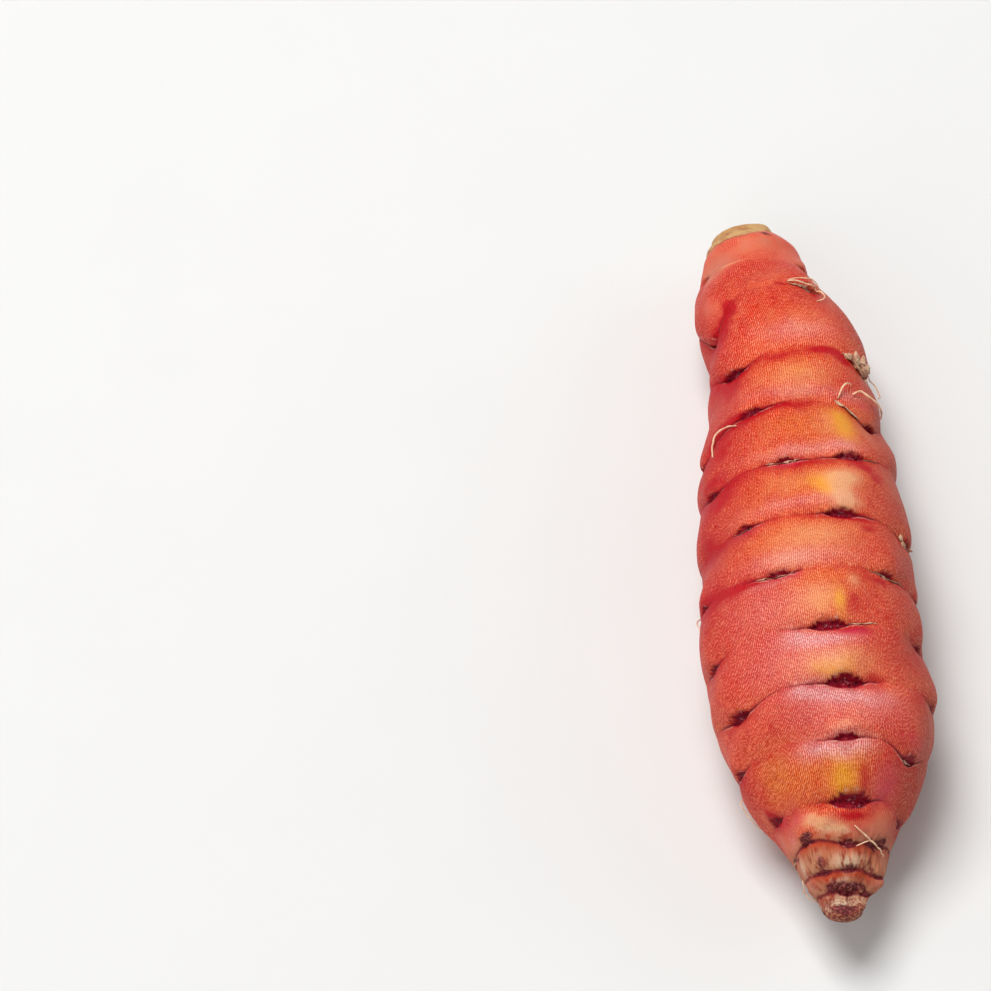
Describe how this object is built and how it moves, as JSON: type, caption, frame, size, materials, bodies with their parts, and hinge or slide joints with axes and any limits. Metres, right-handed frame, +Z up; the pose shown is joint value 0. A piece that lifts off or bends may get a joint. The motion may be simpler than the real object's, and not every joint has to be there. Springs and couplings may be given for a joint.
{
  "type": "oca tuber",
  "caption": "Whole oca tuber on its side: a blunt spindle ringed with shallow creases, with sunken eyes under swollen cushions, a corky scar and a banded tip.",
  "frame": {"origin": "middle of the bounding box on the surface that the tuber lies on", "axes": "+Z up, +Y along the tuber from the growing tip towards the stolon scar, +X to its right seen from the tip"},
  "size_m": [0.0298, 0.1038, 0.0297],
  "materials": {
    "red_skin": "thin coral-red living skin with fine lengthwise striations, faintly glossy, dark in the eyes and yellow on the cushions",
    "dry_root": "dry straw-coloured rootlets and papery shreds of scale, matt"
  },
  "bodies": {
    "root": {"tuber": "red_skin"}
  },
  "joints": []
}
